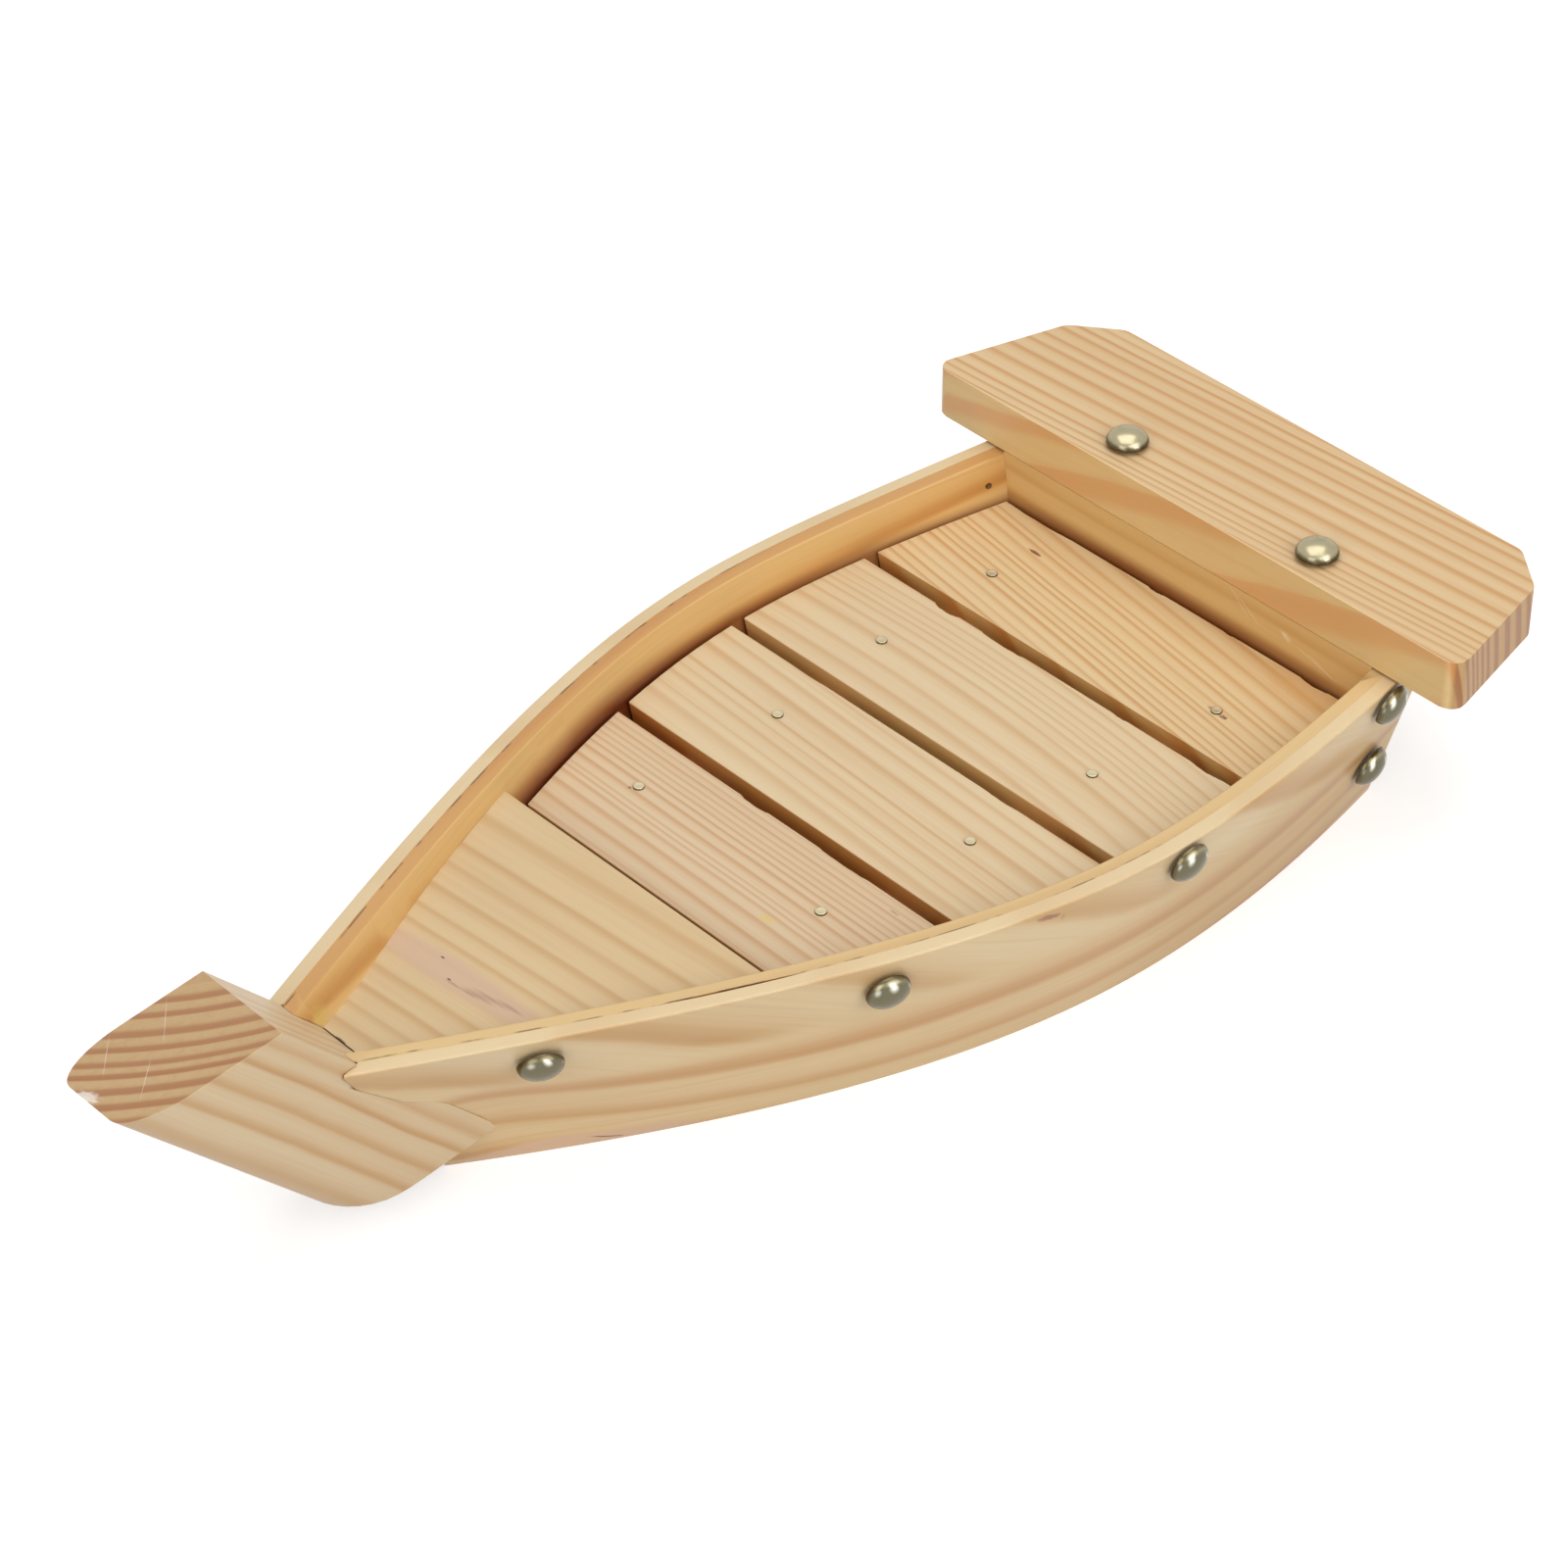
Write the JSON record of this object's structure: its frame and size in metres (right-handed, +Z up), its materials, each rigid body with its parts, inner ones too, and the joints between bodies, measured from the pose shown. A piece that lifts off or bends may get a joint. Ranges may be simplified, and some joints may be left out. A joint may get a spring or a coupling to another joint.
{
  "type": "sushi boat",
  "caption": "Wooden serving boat with bent two-ply sides, a leaning stem block, a wide stern board and a nailed slat deck that lifts out.",
  "frame": {"origin": "centre of the boat's plan box, on the surface that it stands on", "axes": "+X towards the stern, +Y to starboard, +Z up"},
  "size_m": [0.3965, 0.1848, 0.0745],
  "materials": {
    "side_pine": "clear satin lacquer",
    "stem_pine": "clear satin lacquer",
    "stern_pine": "clear satin lacquer",
    "deck_pine": "clear satin lacquer",
    "dome_nail": "polished, antique",
    "slat_nail": "plain"
  },
  "bodies": {
    "hull": {"stem_block": "stem_pine", "port_outer_plank": "side_pine", "port_inner_plank": "side_pine", "starboard_outer_plank": "side_pine", "starboard_inner_plank": "side_pine", "transom": "stern_pine", "stern_board": "stern_pine", "foredeck": "deck_pine", "bottom_board": "side_pine", "plank_nail_port_1": "dome_nail", "plank_nail_port_2": "dome_nail", "plank_nail_port_3": "dome_nail", "plank_nail_port_4": "dome_nail", "plank_nail_port_5": "dome_nail", "stern_board_nail_port": "dome_nail", "plank_nail_starboard_1": "dome_nail", "plank_nail_starboard_2": "dome_nail", "plank_nail_starboard_3": "dome_nail", "plank_nail_starboard_4": "dome_nail", "plank_nail_starboard_5": "dome_nail", "stern_board_nail_starboard": "dome_nail"},
    "slat_deck": {"slat_1": "deck_pine", "slat_2": "deck_pine", "slat_3": "deck_pine", "slat_4": "deck_pine", "port_runner": "side_pine", "starboard_runner": "side_pine", "slat_nail_1_port": "slat_nail", "slat_nail_1_starboard": "slat_nail", "slat_nail_2_port": "slat_nail", "slat_nail_2_starboard": "slat_nail", "slat_nail_3_port": "slat_nail", "slat_nail_3_starboard": "slat_nail", "slat_nail_4_port": "slat_nail", "slat_nail_4_starboard": "slat_nail"}
  },
  "joints": [
    {"name": "deck_lift", "type": "slide", "parent": "hull", "child": "slat_deck", "axis": [0, 0, 1], "range_m": [0, 0.07]}
  ]
}
